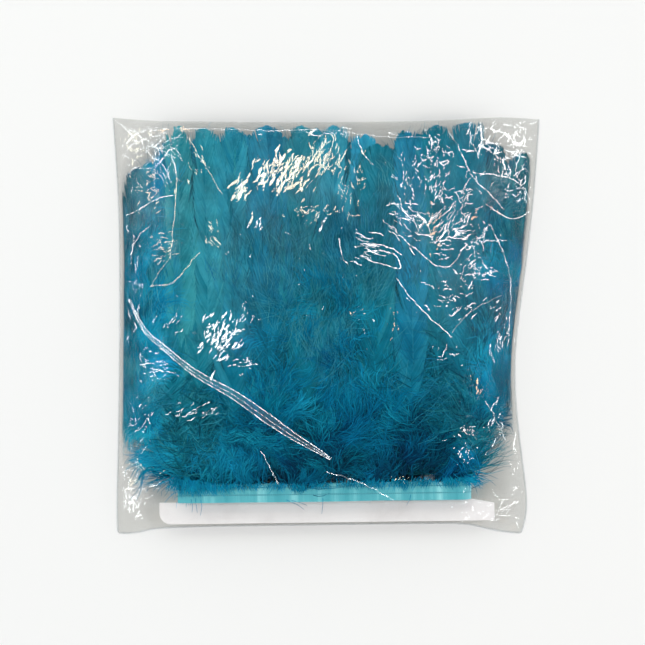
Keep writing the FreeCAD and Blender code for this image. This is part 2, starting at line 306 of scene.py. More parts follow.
def make_mesh(name, points, quads, colours=None, smooth_faces=True, attributes=None):
    """A mesh object from points in millimetres and four-cornered faces."""
    points, quads = np.asarray(points, float).reshape(-1, 3), np.asarray(quads, np.int32)
    mesh = bpy.data.meshes.new(name)
    mesh.vertices.add(len(points))
    mesh.vertices.foreach_set("co", (points * MM).astype(np.float32).ravel())
    mesh.loops.add(len(quads) * 4)
    mesh.loops.foreach_set("vertex_index", quads.ravel())
    mesh.polygons.add(len(quads))
    mesh.polygons.foreach_set("loop_start", np.arange(0, len(quads) * 4, 4, dtype=np.int32))
    mesh.update(calc_edges=True)
    mesh.polygons.foreach_set("use_smooth", np.full(len(quads), smooth_faces))
    if colours is not None:
        layer = mesh.attributes.new("tint", "FLOAT_COLOR", "POINT")
        rgba = np.concatenate([colours, np.ones((len(colours), 1))], axis=1)
        layer.data.foreach_set("color", rgba.astype(np.float32).ravel())
    for key, values in (attributes or {}).items():
        layer = mesh.attributes.new(key, "FLOAT", "POINT")
        layer.data.foreach_set("value", np.asarray(values, np.float32).ravel())
    mesh.validate()
    piece = bpy.data.objects.new(name, mesh)
    bpy.context.scene.collection.objects.link(piece)
    return piece


def grid_quads(rows, columns):
    """Faces of a grid of points."""
    index = np.arange(rows * columns).reshape(rows, columns)
    corners = [index[:-1, :-1], index[:-1, 1:], index[1:, 1:], index[1:, :-1]]
    return np.stack(corners, -1).reshape(-1, 4)


class Strips:
    """Collects many thin bands, each a row of four-cornered faces with its own colours."""

    def __init__(self):
        self.points, self.quads, self.colours, self.count = [], [], [], 0

    def add(self, centres, sides, widths, colours):
        """centres and sides are (bands, steps, 3), widths (bands, steps), colours (bands, steps, 3)."""
        bands, steps = widths.shape
        half = sides * (widths[..., None] / 2)
        pairs = np.stack([centres - half, centres + half], axis=2)
        index = np.arange(bands * steps * 2).reshape(bands, steps, 2) + self.count
        corners = [index[:, :-1, 0], index[:, :-1, 1], index[:, 1:, 1], index[:, 1:, 0]]
        self.points.append(pairs.reshape(-1, 3))
        self.quads.append(np.stack(corners, axis=-1).reshape(-1, 4))
        self.colours.append(np.repeat(colours.reshape(-1, 3), 2, axis=0))
        self.count += bands * steps * 2

    def join(self):
        return (np.concatenate(self.points), np.concatenate(self.quads), np.concatenate(self.colours))


# ---- colours

def linear(red, green, blue):
    """Screen colour, 0 to 255, as the linear colour that shaders use."""
    out = []
    for value in (red, green, blue):
        v = value / 255
        out.append(v / 12.92 if v <= 0.04045 else ((v + 0.055) / 1.055) ** 2.4)
    return np.array(out)


TEAL_DARK = linear(0, 50, 70)
TEAL = linear(9, 111, 134)
TEAL_LIGHT = linear(58, 161, 180)
TEAL_GREEN = linear(14, 119, 130)
TEAL_BLUE = linear(4, 106, 150)


def teal(tone, hue):
    """Dyed feather colour: tone from -1 (deep) to 1 (pale), hue from -1 (green) to 1 (blue)."""
    tone = np.clip(tone, -1, 1)[..., None]
    hue = np.clip(hue, -1, 1)[..., None]
    colour = np.where(tone < 0, TEAL + (TEAL_DARK - TEAL) * -tone, TEAL + (TEAL_LIGHT - TEAL) * tone)
    ratio = np.where(hue < 0, TEAL_GREEN, TEAL_BLUE) / TEAL
    return colour * (1 + (ratio - 1) * np.abs(hue) * 0.8)


# ---- feathers

QUILL_LIFT = PLY_STACK / 2 + 0.025
PROFILE_ALONG = [-0.05, 0.03, 0.20, 0.42, 0.72, 1.04]
HEADER_SHARE = [1.0, 1.0, 0.35, 0.0, 0.0, 0.0]
MIDDLE_SHARE = [0.0, 0.0, 0.65, 1.0, 0.62, 0.0]
TIP_SHARE = [0.0, 0.0, 0.0, 0.0, 0.38, 1.0]
FEATHER_REACH = 250.0


def row_height(row, distance):
    """Height of a row of feathers at a distance above the ribbon, as in the frame. Row 0 is lowest."""
    if row < BACK_LAYERS:
        header = back_level(BACK_LAYERS - row, QUILL_LIFT)
    else:
        header = front_level(row - BACK_LAYERS + 1, QUILL_LIFT)
    levels = (header, HEADER_SHARE), (1.6 + 3.05 * row, MIDDLE_SHARE), (1.6 + 1.3 * row, TIP_SHARE)
    along = distance / FEATHER_REACH
    return sum(level * np.interp(along, PROFILE_ALONG, share) for level, share in levels)


def curve_points(x, y, angle, bend, length, steps):
    """A gently bending line in plan. Angles are from +Y, clockwise; returns points and headings."""
    along = np.linspace(0, 1, steps)
    heading = angle + bend * (along - 0.35 * along ** 2)
    dx = np.sin(heading) * length / (steps - 1)
    dy = np.cos(heading) * length / (steps - 1)
    px = x + np.concatenate([[0], np.cumsum((dx[:-1] + dx[1:]) / 2)])
    py = y + np.concatenate([[0], np.cumsum((dy[:-1] + dy[1:]) / 2)])
    return px, py, heading


def add_barbs(strips, root, heading, side, angle, length, curl, width, colour_root, colour_tip,
              steps, sag, ripple, roll):
    """Barbs growing from rachis points: root (n,3), heading (n) of the rachis, side +1 or -1."""
    origin = np.zeros((len(root), 1))
    t = np.linspace(0, 1, steps)[None, :]
    direction = (heading + side * angle)[:, None] - side * curl[:, None] * t
    direction = direction + ripple[:, None] * np.sin(t * 5.0 + root[:, :1])
    step = length[:, None] / (steps - 1)
    dx, dy = np.sin(direction) * step, np.cos(direction) * step
    px = root[:, 0:1] + np.concatenate([origin, np.cumsum(dx[:, 1:], axis=1)], axis=1)
    py = root[:, 1:2] + np.concatenate([origin, np.cumsum(dy[:, 1:], axis=1)], axis=1)
    pz = root[:, 2:3] + sag[:, None] * t ** 1.5
    widths = width[:, None] * (1.0 - 0.75 * t ** 2)
    colours = colour_root[:, None, :] * (1 - t[..., None]) + colour_tip[:, None, :] * t[..., None]
    strips.add(np.stack([px, py, pz], axis=-1), beside(direction, side * roll), widths, colours)


BLADE_ALONG = [0.0, 0.12, 0.35, 0.62, 0.82, 0.92, 0.97, 1.0]
BLADE_WIDTH = [0.30, 0.60, 0.90, 1.0, 0.92, 0.72, 0.46, 0.0]
BARB_ANGLE_ALONG = [0, 0.7, 0.9, 1]
BARB_ANGLE = [0.62, 0.50, 0.46, 0.42]


def vane_reach(vane, half_width, barb_angle, vane_length):
    """Lengths of barbs whose ends lie on the blade's outline, which swells and rounds off to the tip."""
    angle = np.clip(barb_angle - 0.12, 0.2, 1.5)
    reach = half_width * np.interp(vane, BLADE_ALONG, BLADE_WIDTH) / np.sin(angle)
    for _ in range(16):
        end = np.minimum(vane + reach * np.cos(angle) / vane_length, 1.0)
        outline = half_width * np.interp(end, BLADE_ALONG, BLADE_WIDTH) / np.sin(angle)
        reach = 0.75 * reach + 0.25 * outline
    return np.clip(reach, 1.2, half_width * 1.9)


def add_rachis(strips, spine, heading, distance, tone, hue):
    """The pale middle rib, tapering, and sunk below the down near the ribbon."""
    pick = np.unique(np.linspace(0, len(spine) - 1, 26).astype(int))
    thickness = np.interp(np.linspace(0, 1, len(pick)), [0, 0.4, 1], [1.1, 0.55, 0.15])
    colour = teal(np.full(len(pick), tone + 0.10), np.full(len(pick), hue * 0.5))
    ridge = spine[pick].copy()
    ridge[:, 2] += 0.35 - 5.0 * smooth(95.0, 30.0, distance[pick])
    strips.add(ridge[None], beside(heading[pick])[None], thickness[None], colour[None])


def add_vane(strips, spine, heading, vane, vane_length, half_width, spacing, tone, hue):
    """The flat blade of a feather: barbs in locks that share an angle, a length and a shade."""
    count = len(vane)
    lock = np.cumsum(rng.random(count) < 0.07)
    for side in (-1, 1):
        lock_angle, lock_tone, lock_length = (
            rng.normal(middle, spread, lock[-1] + 1)[lock]
            for middle, spread in ((0, 0.035), (0, 0.10), (1, 0.07)))
        barb_angle = np.interp(vane, BARB_ANGLE_ALONG, BARB_ANGLE) + lock_angle
        reach = vane_reach(vane, half_width, barb_angle, vane_length)
        reach = reach * lock_length * rng.normal(1, 0.03, count)
        tones = tone + lock_tone + rng.normal(0, 0.09, count)
        hues = hue + rng.normal(0, 0.08, count)
        add_barbs(
            strips, spine, heading, side, barb_angle, reach,
            curl=0.28 + rng.normal(0, 0.03, count), width=np.full(count, spacing * 1.55),
            colour_root=teal(tones - 0.12, hues), colour_tip=teal(tones + 0.10, hues),
            steps=4, sag=rng.normal(-0.5, 0.12, count) * half_width / 14,
            ripple=rng.normal(0, 0.02, count), roll=0.16)


def add_foot_down(strips, spine, heading, count, tone, hue):
    """Loose down on both sides of a feather's lower part."""
    chosen = rng.choice(len(spine), count, replace=True)
    for side in (-1, 1):
        reach = rng.uniform(16, 36, count)
        # Painted shade: this down is darker at its roots than at its tips.
        tones = tone - 0.15 + rng.normal(0, 0.28, count)
        hues = hue + rng.normal(0, 0.2, count)
        add_barbs(
            strips, spine[chosen] + rng.normal(0, 0.5, (count, 3)), heading[chosen], side,
            rng.uniform(0.5, 1.5, count), reach,
            curl=rng.normal(0.5, 0.5, count), width=rng.uniform(0.4, 0.75, count),
            colour_root=teal(tones - 0.35, hues), colour_tip=teal(tones + 0.25, hues),
            steps=7, sag=rng.normal(0, 1.6, count), ripple=rng.normal(0, 0.28, count), roll=0.5)


QUILL_DEPTH = 2.0         # the quill starts this far below the ribbon's upper edge


def add_feather(strips, row, x, angle, bend, length, half_width, spacing, lift, tone, hue, downy):
    """One feather: a quill and rachis, long down near the ribbon and a flat vane above it."""
    steps = int(length / spacing)
    px, py, heading = curve_points(x, RIBBON_TOP - QUILL_DEPTH, angle, bend, length, steps)
    distance = np.linspace(-QUILL_DEPTH, length - QUILL_DEPTH, steps)
    pz = row_height(row, distance * FEATHER_REACH / length) + lift * smooth(0, 60, distance)
    spine = np.stack([px, py, pz], axis=-1)
    add_rachis(strips, spine, heading, distance, tone, hue)
    along = distance / length
    vane_start = rng.uniform(0.27, 0.36)
    flat = along > vane_start
    vane = (along[flat] - vane_start) / (1 - vane_start)
    add_vane(strips, spine[flat], heading[flat], vane, length * (1 - vane_start), half_width,
             spacing, tone, hue)
    foot = (along > 0.02) & (along < vane_start + 0.10)
    add_foot_down(strips, spine[foot], heading[foot], int(foot.sum() * downy), tone, hue)


def tone_at(x, y):
    """How pale the dye looks over the trim: paler on the left, deeper low on the right."""
    tone = 0.20 - 0.18 * smooth(-60, 110, x)
    tone = tone - 0.46 * smooth(-30, -90, y) * smooth(-90, -10, x)
    tone = tone + 0.40 * smooth(20, -60, y) * smooth(-50, -105, x)
    return tone + 0.18 * noise(x / 38.0, y / 60.0, 31)


# How far up the trim reaches over its width: x, then y of the highest tips.
CROWN_X = [-148, -143, -133, -117, -112, -108, -104, -98, -90, -85, -70, -54, -29, -4, 14,
           22, 28, 43, 54, 62, 80, 97, 108, 116, 120, 124, 130, 136, 142, 147]
CROWN_Y = [100, 111, 117, 117, 120, 132, 142, 134, 134, 139, 140, 142, 142, 142, 142,
           135, 129, 127, 133, 140, 142, 143, 142, 136, 124, 108, 106, 112, 121, 104]
TIP_SHIFT = 3.7           # laying the trim askew in the bag moves its tips this far to the left
FINE_SPACING = 1.5        # rows that can be seen have barbs closer together than this


def make_row(row, count, spacing, half_width):
    """One row of the trim, standing for the frame's group of feathers in the same layer."""
    strips = Strips()
    half = TONGUE_HALF + 6.0
    widest = math.radians(7.6 - 0.3 * row)          # the lean outwards at the ribbon's ends
    places = np.linspace(-half, half, count) + rng.normal(0, 1.2, count)
    for x in rng.permutation(places):
        angle = widest * x / TONGUE_HALF + rng.normal(0, math.radians(3.2))
        length = rng.uniform(240, 262) if spacing < FINE_SPACING else rng.uniform(190, 245)
        room = np.interp(x + length * math.sin(angle) - TIP_SHIFT, CROWN_X, CROWN_Y) - RIBBON_TOP
        length = min(length, (room - rng.uniform(0, 10)) / math.cos(angle))
        add_feather(
            strips, row, x, angle=angle, bend=rng.normal(0, math.radians(6)),
            length=length, half_width=half_width * rng.uniform(0.85, 1.15), spacing=spacing,
            lift=rng.normal(0, 1.1), tone=float(tone_at(x * 1.3, 40.0)) + rng.normal(0.0, 0.16),
            hue=rng.normal(0, 0.4), downy=0.7)
    return strips


# The feathers that lie on top, each as where its tip lies, its half-width and its length.
TOP_FEATHERS = [
    (-126.0, 118.0, 20.0, 205), (-104.5, 144.0, 15.0, 228), (-86.0, 142.0, 15.0, 232),
    (-66.0, 142.0, 18.0, 236), (-42.0, 143.5, 20.0, 240), (-18.0, 143.0, 20.0, 240),
    (5.0, 143.0, 18.0, 236), (36.0, 129.0, 18.0, 222), (58.0, 138.0, 16.0, 228),
    (78.0, 142.0, 20.0, 234), (100.0, 144.0, 24.0, 236), (142.0, 122.0, 14.0, 222),
    (133.0, 106.0, 17.0, 200), (-92.0, 98.0, 19.0, 190), (-40.0, 112.0, 20.0, 205),
    (30.0, 96.0, 19.0, 190), (112.0, 84.0, 19.0, 180), (58.0, 70.0, 16.0, 160),
    (-14.0, 70.0, 19.0, 165), (-68.0, 52.0, 18.0, 150), (-118.0, 60.0, 17.0, 150),
]
ROOT_LIMIT = 100.0
TIP_LEAN = 0.383          # share of a feather's bend by which its tip strays from its first heading


def make_top_feathers(row):
    """The outermost row: feathers aimed so that their tips lie at the given places, the last one first."""
    strips = Strips()
    for tip_x, tip_y, half_width, length in reversed(TOP_FEATHERS):
        tip_x, tip_y = tip_x + TIP_SHIFT, tip_y - RIBBON_TOP
        bend = rng.normal(0.03, 0.07)
        spread = math.sqrt(max(length ** 2 - tip_y ** 2, 0.0))
        root_x = tip_x - math.copysign(min(spread, 0.28 * abs(tip_x)), tip_x)
        root_x = np.clip(root_x, -ROOT_LIMIT, ROOT_LIMIT)
        add_feather(
            strips, row, root_x, angle=math.atan2(tip_x - root_x, tip_y) - TIP_LEAN * bend,
            bend=bend, length=math.hypot(tip_x - root_x, tip_y), half_width=half_width, spacing=0.95,
            lift=rng.uniform(0.2, 2.2), tone=float(tone_at(tip_x, tip_y * 0.5)) + rng.normal(0.02, 0.16),
            hue=rng.normal(-0.1, 0.3), downy=0.5)
    return strips


# ---- marabou down, and wisps over the vanes

DOWN_BRIGHT = np.array([0.28, 1.08, 1.24])          # down takes the dye more deeply than the vanes
WISP_BRIGHT = np.array([1.30, 1.0, 0.98])


def down_heading(x, y):
    """Which way the down lies over the trim: it swirls, and near the sides it sweeps outwards."""
    sideways = -1.15 * smooth(-60, -130, x) * smooth(10, -60, y) + 0.55 * smooth(60, 130, x)
    swirl = 1.25 * noise(x / 34.0, y / 28.0, 71) + 0.7 * noise(x / 12.0, y / 12.0, 72)
    return sideways + swirl + 0.45 * noise(x / 5.0, y / 5.0, 73)


def down_density(x, y):
    """Share of the down that grows at a place: thick near the ribbon, thinning upwards."""
    low = smooth(60, -45, y) ** 1.3
    low = low + 0.35 * smooth(100, 60, y) * (smooth(-112, -136, x) + smooth(104, 124, x))
    left_end = np.interp(y, [-112, -105, -95, -80, -55, 0], [-90, -103, -117, -131, -141, -147])
    left = smooth(left_end - 4, left_end + 8, x)
    right = smooth(134, 112, x + 20 * smooth(-30, -105, y))
    return low * left * right


def wisp_heading(x, y):
    """Wisps lie along the vanes, straying from them in waves."""
    lean = 0.16 * x / 100.0 + 0.75 * noise(x / 42.0, y / 36.0, 74)
    return lean + 0.40 * noise(x / 11.0, y / 11.0, 75)


def wisp_density(x, y):
    """Wisps lie over the vanes, thin towards the tips and thicker at the sides."""
    crown = np.interp(x, CROWN_X, CROWN_Y)
    middle = smooth(-70, -10, y) * (0.25 + 0.75 * smooth(95, 30, y))
    sides = (smooth(-108, -130, x) + smooth(108, 128, x)) * smooth(-75, -45, y)
    return np.clip(middle + 0.8 * sides, 0, 1) * smooth(24, 44, crown - y) * smooth(145, 139, np.abs(x))


SIDE_LIFT = 25.0          # beside the welds the down lies over the vanes, so it is pressed down last
DOWN_STEPS = 8


def make_down(tufts, strands, low_share, high_share, wisps=False):
    """Tufts of fine strands that flow together and share a bend and a shade."""
    density, flow = (wisp_density, wisp_heading) if wisps else (down_density, down_heading)
    x = rng.uniform(-148, 142 if wisps else 134, tufts * 12)
    y = rng.uniform(-113, 112 if wisps else 100, tufts * 12)
    keep = rng.random(len(x)) < density(x, y)
    x, y = x[keep][:tufts], y[keep][:tufts]
    tufts = len(x)
    count = tufts * strands
    top = ceiling(x, y) - 1.6
    floor = np.maximum(top - 9.0, 2.0)
    height = floor + (top - floor) * rng.uniform(low_share, high_share, tufts)
    height = height + SIDE_LIFT * smooth(45.0, 14.0, side_distance(x, y))
    lean = rng.normal(0, 0.40, tufts)
    bend = rng.normal(0, 0.8, tufts)
    length = rng.uniform(14, 30, tufts)
    tone = tone_at(x, y) + rng.normal(0.0, 0.30, tufts)
    hue = rng.normal(0.1, 0.35, tufts)
    if wisps:
        lean, bend, length = lean * 0.7, bend * 0.5, length * 1.1

    def each(values, spread):
        """A tuft's value for each of its strands, with a spread."""
        return (np.repeat(values, strands) + rng.normal(0, spread, count))[:, None]

    t = np.linspace(0, 1, DOWN_STEPS)[None, :]
    step = np.maximum(each(length, 4.5), 6.0) / (DOWN_STEPS - 1)
    leans, bends = each(lean, 0.24), each(bend, 0.25)
    tuft_width = 7.0 if wisps else 3.4
    px, py, heads = [each(x, tuft_width)], [each(y, tuft_width)], []
    for number in range(DOWN_STEPS):
        heads.append(flow(px[-1], py[-1]) + leans + bends * number / (DOWN_STEPS - 1))
        if number < DOWN_STEPS - 1:
            px.append(px[-1] + np.sin(heads[-1]) * step)
            py.append(py[-1] + np.cos(heads[-1]) * step)
    px, py, heading = (np.concatenate(parts, 1) for parts in (px, py, heads))
    rise = rng.uniform(0.8, 4.5, (count, 1))
    pz = each(height, 0.5) - 2.4 + rise * np.sin(2.4 * t)
    roll = rng.uniform(-0.6, 0.6, (count, 1))
    widths = rng.uniform(0.34, 0.58, (count, 1)) * (1 - 0.7 * t ** 2)
    # Strands are painted darker at the root and paler at the tip: painted shade where the tufts crowd. The
    # down gets less of it near the right edge.
    if wisps:
        widths = widths * 0.72
        root_shaded_tones = each(tone, 0.20) - 0.30 + 0.55 * t
    else:
        root_shaded_tones = each(tone, 0.14) - 0.75 + 1.35 * t + 0.35 * smooth(96, 120, px)
    colours = teal(root_shaded_tones, each(hue, 0.12) + 0 * t) * (WISP_BRIGHT if wisps else DOWN_BRIGHT)
    strips = Strips()
    strips.add(np.stack([px, py, pz], -1), beside(heading, roll), widths, colours)
    return strips


# Tufts that hang over the ribbon: x, y, heading in degrees, length, strands, sideways spread.
EDGE_TUFTS = [
    (-97.0, -107.0, 172, 12, 130, 5.0), (-88.0, -108.0, 180, 10, 110, 5.5),
    (-103.0, -106.0, 200, 10, 90, 4.5), (-79.0, -110.0, 160, 9, 70, 5.0),
    (-66.0, -110.0, 185, 6, 90, 4.0), (-52.0, -110.0, 160, 5, 70, 5.0),
    (-34.0, -110.0, 200, 5, 60, 4.0), (-20.0, -110.0, 170, 7, 90, 3.0),
    (-4.0, -110.0, 185, 5, 80, 5.0), (16.0, -109.5, 165, 5, 80, 5.0),
    (34.0, -109.0, 190, 6, 100, 4.0), (52.0, -109.0, 175, 7, 100, 4.0),
    (70.0, -108.5, 200, 6, 90, 5.0), (88.0, -108.0, 170, 7, 110, 5.0),
    (100.0, -108.0, 120, 9, 120, 4.0),
]

# Single hairs that stray across the card or the film: x, y, heading in degrees, length, bend.
STRAY_HAIRS = [
    (-88.0, -119.0, 172, 14, 0.4), (-91.0, -118.0, 188, 13, -0.3), (-95.0, -119.0, 165, 12, 0.5),
    (-30.0, -121.0, 112, 17, 0.3), (-26.0, -122.0, 100, 14, 0.4), (-2.0, -119.0, 178, 14, 0.2),
    (60.0, -118.0, 185, 10, 0.4), (-126.0, -100.0, 196, 24, 0.5), (-122.0, -98.0, 200, 22, 0.7),
    (-128.0, -104.0, 188, 18, 0.3), (106.0, -106.0, 105, 16, 0.5), (104.0, -104.0, 95, 18, 0.4),
]
HAIR_STEPS = 7
OVER_RIBBON = 15.1        # height at which down lies on the ribbon


def hair_line(x, y, heading, length):
    """Places along hairs with the given headings at each step."""
    return (x + np.cumsum(np.sin(heading), 1) * length / HAIR_STEPS,
            y + np.cumsum(np.cos(heading), 1) * length / HAIR_STEPS)


def make_edge_tufts():
    """Down and stray hairs that fall over the ribbon's upper edge."""
    strips = Strips()
    t = np.linspace(0, 1, HAIR_STEPS)[None, :]
    for x, y, degrees, length, strands, spread in EDGE_TUFTS:
        each = (strands, 1)
        lengths = length * rng.uniform(0.5, 1.1, each)
        start_x, start_y = x + rng.normal(0, spread, each), y + rng.normal(0, 1.2, each)
        heading = math.radians(degrees) + rng.normal(0, 0.30, each) + rng.normal(0, 0.5, each) * t
        px, py = hair_line(start_x, start_y, heading, lengths)
        pz = OVER_RIBBON + 0.5 * np.sin(2.6 * t) + rng.uniform(0, 0.5, each)
        # Painted shade: each hair is darker at its root, where the tufts crowd, and paler at its tip.
        root_shaded_tones = rng.normal(0.20, 0.22, each) - 0.25 + 0.65 * t
        colours = teal(root_shaded_tones, rng.normal(0.1, 0.3, each) + 0 * t) * DOWN_BRIGHT
        widths = rng.uniform(0.28, 0.45, each) * (1 - 0.7 * t ** 2)
        strips.add(np.stack([px, py, pz], -1), beside(heading), widths, colours)
    for x, y, degrees, length, bend in STRAY_HAIRS:
        heading = math.radians(degrees) + bend * t
        px, py = hair_line(x, y, heading, length)
        pz = np.interp(py, [-126.0, -123.0], [8.4, 15.6])
        colours = teal(0.25 + 0 * t, 0.4 + 0 * t) * DOWN_BRIGHT
        strips.add(np.stack([px, py, pz], -1), beside(heading), 0.42 * (1 - 0.6 * t), colours)
    return strips


def painted_side_shade(x, y):
    """Painted shade on feathers packed beside the welds, in streaks: the share of their colour that stays."""
    packed = smooth(30.0, 6.0, side_distance(x, y)) * smooth(-105.0, -60.0, y)
    painted_shading_streaks = 0.5 + 0.5 * noise(x / 2.2, y / 17.0, 61) + 0.3 * noise(x / 9.0, y / 26.0, 62)
    return 1.0 - packed * np.clip(0.16 + 0.52 * painted_shading_streaks, 0.0, 0.8)


# ---- materials

class Shader:
    """Puts together the nodes of one material or world."""

    def __init__(self, owner):
        owner.use_nodes = True
        self.owner, self.nodes, self.links = owner, owner.node_tree.nodes, owner.node_tree.links

    def set(self, socket, value):
        """Joins a socket to another one, or gives it a plain value."""
        if isinstance(value, bpy.types.NodeSocket):
            self.links.new(value, socket)
        else:
            socket.default_value = value

    def add(self, kind, inputs, **settings):
        """A new node with its settings, and its inputs by name or number."""
        node = self.nodes.new("ShaderNode" + kind)
        for key, value in settings.items():
            setattr(node, key, value)
        for key, value in inputs.items():
            self.set(node.inputs[key], value)
        return node

    def place(self, output="Object"):
        return self.add("TexCoord", {}).outputs[output]

    def attribute(self, name, output="Fac"):
        return self.add("Attribute", {}, attribute_name=name).outputs[output]

    def math(self, operation, first, second=0.0):
        return self.add("Math", {0: first, 1: second}, operation=operation).outputs[0]

    def noise(self, vector, scale, detail, roughness=0.5, distortion=0.0):
        return self.add("TexNoise", {
            "Vector": vector, "Scale": scale, "Detail": detail, "Roughness": roughness,
            "Distortion": distortion}).outputs["Fac"]

    def ramp(self, factor, stops):
        node = self.add("ValToRGB", {"Fac": factor})
        elements = node.color_ramp.elements
        while len(elements) < len(stops):
            elements.new(0.5)
        for element, (position, colour) in zip(elements, stops):
            element.position = position
            element.color = (*colour, 1)
        return node.outputs["Color"]

    def bump(self, height, distance, strength=1.0):
        node = self.add("Bump", {"Height": height, "Distance": distance, "Strength": strength})
        return node.outputs["Normal"]

    def finish(self, shader_output):
        self.add("OutputMaterial", {"Surface": shader_output})
        return self.owner

    def principled(self, inputs):
        return self.finish(self.add("BsdfPrincipled", inputs).outputs["BSDF"])

    def mixed(self, factor, first, second):
        return self.add("MixShader", {"Fac": factor, 1: first, 2: second}).outputs["Shader"]


def new_shader(name):
    shader = Shader(bpy.data.materials.new(name))
    shader.nodes.clear()
    return shader


def feather_material():
    """Dyed feather: the strips' own tint, mottled."""
    shader = new_shader("dyed_feather")
    mottle = shader.add("MapRange", {
        "Value": shader.noise(shader.place(), 90.0, 3.0), "From Min": 0.3, "From Max": 0.7,
        "To Min": 0.80, "To Max": 1.18}).outputs["Result"]
    tint = shader.attribute("tint", "Color")
    dyed = shader.add("VectorMath", {0: tint, "Scale": mottle}, operation="SCALE").outputs["Vector"]
    return shader.principled({
        "Base Color": dyed, "Roughness": 0.55, "Specular IOR Level": 0.04, "Sheen Weight": 0.02,
        "Sheen Roughness": 0.45, "Sheen Tint": (0.45, 0.85, 1.0, 1)})


def satin_material():
    """Satin: painted sheen as pale streaks in the colour across the ribbon, and a fine weave."""
    shader = new_shader("satin_ribbon")
    along, across = shader.attribute("along"), shader.attribute("across")
    sheen_streak_place = shader.add("CombineXYZ", {
        "X": shader.math("MULTIPLY", along, 1.6), "Y": shader.math("MULTIPLY", across, 0.08)})
    painted_shading_streaks = shader.noise(sheen_streak_place.outputs[0], 0.05, 5.0, 0.62)
    # Painted sheen: the streak noise makes the ribbon's colour paler in bands.
    colour = shader.ramp(painted_shading_streaks, [
        (0.34, linear(68, 168, 182)), (0.52, linear(94, 188, 198)), (0.66, linear(150, 226, 230))])
    weave = shader.add("TexWave", {
        "Vector": shader.add("CombineXYZ", {"X": along, "Y": across}).outputs[0],
        "Scale": 0.55, "Distortion": 0.6}, wave_type="BANDS", bands_direction="X").outputs["Fac"]
    height = shader.math("ADD", weave, shader.noise(shader.place(), 2200.0, 1.0))
    return shader.principled({
        "Base Color": colour, "Roughness": 0.34, "Specular IOR Level": 0.6, "Sheen Weight": 0.3,
        "Normal": shader.bump(height, 0.0001, 0.35)})


def thread_material():
    """Twisted sewing thread."""
    shader = new_shader("sewing_thread")
    twist = shader.add("TexWave", {
        "Vector": shader.place(), "Scale": 420.0, "Distortion": 1.0},
        bands_direction="DIAGONAL").outputs["Fac"]
    colour = shader.ramp(twist, [(0.0, linear(62, 148, 164)), (1.0, linear(92, 174, 188))])
    return shader.principled({
        "Base Color": colour, "Roughness": 0.7, "Normal": shader.bump(twist, 0.0001)})


def card_material():
    """White board: faint clouds and a fibrous surface."""
    shader = new_shader("white_board")
    place = shader.place()
    cloud, fibre = shader.noise(place, 28.0, 4.0, 0.6), shader.noise(place, 900.0, 3.0, 0.6)
    mixed = shader.math("ADD", shader.math("MULTIPLY", cloud, 0.75), shader.math("MULTIPLY", fibre, 0.25))
    colour = shader.ramp(mixed, [
        (0.30, linear(234, 229, 227)), (0.50, linear(250, 246, 244)), (0.70, linear(254, 251, 249))])
    return shader.principled({
        "Base Color": colour, "Roughness": 0.62, "Normal": shader.bump(fibre, 0.00015, 0.5)})


def film_material(name, haze, bump_height, mirror, clearness=(0.97, 0.975, 0.98)):
    """Clear film: see-through, mirror-like at its surface, and milky by its haze attribute."""
    shader = new_shader(name)
    coarse = shader.noise(shader.place(), 120.0, 0.0, 0.5, 1.2)
    sharp = shader.math("ABSOLUTE", shader.math("SUBTRACT", coarse, 0.5))
    height = shader.math("MULTIPLY", sharp, shader.attribute("crumple"))
    clear = shader.add("BsdfTransparent", {"Color": (*clearness, 1)}).outputs["BSDF"]
    gloss = shader.add("BsdfGlossy", {
        "Roughness": 0.11, "Color": (1, 1, 1, 1), "Normal": shader.bump(height, bump_height)})
    milk = shader.add("BsdfDiffuse", {"Color": (0.93, 0.95, 0.96, 1)}).outputs["BSDF"]
    shiny = shader.mixed(mirror, clear, gloss.outputs["BSDF"])
    return shader.finish(shader.mixed(shader.math("ADD", shader.attribute("haze"), haze), shiny, milk))


FEATHER = feather_material()
SATIN = satin_material()
THREAD = thread_material()
CARD = card_material()
FRONT_FILM = film_material("clear_film", 0.0, 0.0030, 0.007)
BACK_FILM = film_material("clear_film_back", 0.02, 0.0016, 0.03, clearness=(0.87, 0.865, 0.845))
WELD_FILM = film_material("clear_film_weld", 0.12, 0.002, 0.10)
GLINT_FILM = film_material("clear_film_crease", 0.0, 0.0, 0.085)


def finish_piece(piece, body, slot, material, *nodes):
    """Gives a piece its material and body, and hides the CAD nodes that it stands for; slot is not used."""
    piece.data.materials.clear()
    piece.data.materials.append(material)
    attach(piece, body)
    if nodes:
        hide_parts(*nodes)


def dress(node_name, material):
    """Gives a CAD node that stays its finished material."""
    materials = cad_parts[node_name].data.materials
    materials.clear()
    materials.append(material)


def finish_strips(name, strips, *nodes):
    """A piece of feathers or down, laid in the bag and pressed under its film."""
    points, quads, colours = strips.join()
    points = press_into_bag(to_bag(points))
    # Feathers packed beside the welds get painted shade in their colour.
    colours = colours * painted_side_shade(points[:, 0], points[:, 1])[:, None]
    finish_piece(make_mesh(name, points, quads, colours), "contents", "feather", FEATHER, *nodes)


dress("stitch_line_upper", THREAD)
dress("stitch_line_lower", THREAD)
dress("winding_card", CARD)
for weld in ("left_side_weld", "right_side_weld", "bottom_weld"):
    dress(weld, WELD_FILM)


# ---- make the feathers

FINE = 1.2                # spacing of barbs in rows that can be seen, and in hidden ones
COARSE = 2.4

for layer in range(1, BACK_LAYERS + 1):
    row = BACK_LAYERS - layer
    count, spacing = (24, FINE) if row == 0 else (20, COARSE)
    strips = make_row(row, count, spacing, 17.0)
    finish_strips("feather_row_back_%d" % layer, strips, "feathers_back_%d" % layer)
for layer in range(1, FRONT_LAYERS + 1):
    row = BACK_LAYERS + layer - 1
    if layer == FRONT_LAYERS:
        strips = make_top_feathers(row)
    else:
        count, spacing = (40, FINE) if layer == FRONT_LAYERS - 1 else (20, COARSE)
        strips = make_row(row, count, spacing, 16.0)
    finish_strips("feather_row_front_%d" % layer, strips, "feathers_front_%d" % layer)

